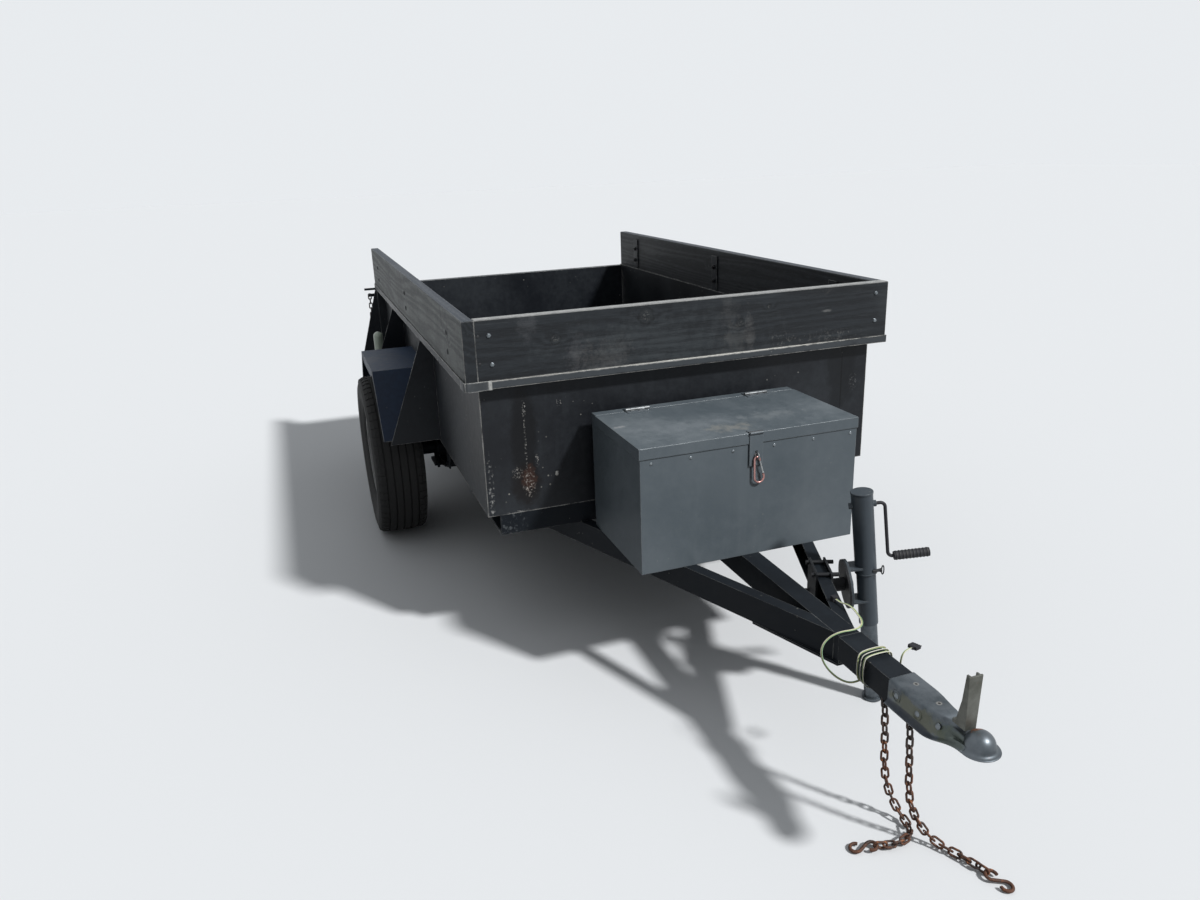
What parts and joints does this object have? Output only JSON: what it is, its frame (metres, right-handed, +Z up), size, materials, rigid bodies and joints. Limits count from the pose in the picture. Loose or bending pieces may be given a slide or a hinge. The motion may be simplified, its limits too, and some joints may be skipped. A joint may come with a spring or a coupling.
{
  "type": "utility trailer",
  "caption": "Single-axle utility trailer with a steel tub, wooden top boards, a drop tailgate, fenders, and a lidded toolbox and swivel jack on its tongue.",
  "frame": {"origin": "centre of the overall box at ground level, without the free chains and cable", "axes": "+X forward to the coupler, +Y to the trailer's left, +Z up"},
  "size_m": [3.8545, 1.905, 1.119],
  "materials": {
    "tub_paint": "weathered black enamel, dusty, scuffed to pale metal on the folds",
    "frame_paint": "matte charcoal enamel with dust",
    "board_wood": "dark stained softwood, worn to grey-brown",
    "box_paint": "semi-gloss slate grey enamel",
    "jack_paint": "semi-gloss slate grey enamel",
    "zinc": "dull zinc plate with stains",
    "bare_steel": "worn bright steel",
    "rusty_steel": "rusty brown steel",
    "tyre_rubber": "dusty black rubber",
    "rim_paint": "pale grey enamel",
    "marker_lens": "faded pale lens",
    "tail_lens": "red lens",
    "cable_jacket": "pale yellow, white and green wires side by side",
    "black_plastic": "dull black plastic",
    "rose_alloy": "anodised, worn silver"
  },
  "bodies": {
    "trailer": {"floor_sheet": "tub_paint", "side_walls": "tub_paint", "front_panel": "tub_paint", "fenders": "tub_paint", "gussets": "tub_paint", "rear_posts": "tub_paint", "board_stakes": "tub_paint", "lamp_brackets": "tub_paint", "gate_hinge_lugs": "tub_paint", "gate_hooks": "tub_paint", "side_rails": "frame_paint", "cross_members": "frame_paint", "tongue_diagonals": "frame_paint", "tongue_beam": "frame_paint", "tongue_tube": "frame_paint", "junction_plate": "frame_paint", "chain_lug": "frame_paint", "axle": "frame_paint", "leaf_springs": "frame_paint", "spring_hangers": "frame_paint", "spring_shackles": "frame_paint", "axle_clamps": "frame_paint", "jack_mount": "frame_paint", "front_board": "board_wood", "side_boards": "board_wood", "toolbox": "box_paint", "coupler": "zinc", "coupler_latch": "zinc", "box_hinge_leaves": "bare_steel", "hasp_staple": "bare_steel", "safety_chains": "rusty_steel", "chain_hooks": "rusty_steel", "gate_chains": "rusty_steel", "marker_lamps": "marker_lens", "tail_lamps": "tail_lens", "wiring_cable": "cable_jacket", "wiring_plug": "black_plastic", "wiring_clip": "black_plastic", "spring_ring": "rose_alloy"},
    "wheel_left": {"tyre_left": "tyre_rubber", "rim_left": "rim_paint", "hub_left": "frame_paint"},
    "wheel_right": {"tyre_right": "tyre_rubber", "rim_right": "rim_paint", "hub_right": "frame_paint"},
    "gate": {"tailgate": "tub_paint", "gate_hinge_straps": "tub_paint", "gate_rod": "tub_paint"},
    "lid": {"toolbox_lid": "box_paint", "lid_hinge_leaves": "bare_steel", "hasp_leaf": "box_paint"},
    "jack": {"jack_tube": "jack_paint", "jack_crank": "black_plastic"},
    "leg": {"jack_leg": "bare_steel"}
  },
  "joints": [
    {"name": "left_wheel_spin", "type": "hinge", "parent": "trailer", "child": "wheel_left", "pos_m": [-0.7565, 0.85, 0.344], "axis": [0, 1, 0], "continuous": true},
    {"name": "right_wheel_spin", "type": "hinge", "parent": "trailer", "child": "wheel_right", "pos_m": [-0.7565, -0.85, 0.344], "axis": [0, 1, 0], "continuous": true},
    {"name": "tailgate_drop", "type": "hinge", "parent": "trailer", "child": "gate", "pos_m": [-1.9135, 0, 0.489], "axis": [0, -1, 0], "range_deg": [0, 90]},
    {"name": "toolbox_lid_hinge", "type": "hinge", "parent": "trailer", "child": "lid", "pos_m": [0.577, 0, 0.804], "axis": [0, -1, 0], "range_deg": [0, 95]},
    {"name": "jack_swivel", "type": "hinge", "parent": "trailer", "child": "jack", "pos_m": [1.15963, 0.24943, 0.38411], "axis": [0.3605, 0.9267, 0.1063], "range_deg": [0, 90]},
    {"name": "jack_leg_slide", "type": "slide", "parent": "jack", "child": "leg", "axis": [-0.0385, -0.099, 0.9943], "range_m": [-0.06, 0.235]}
  ]
}
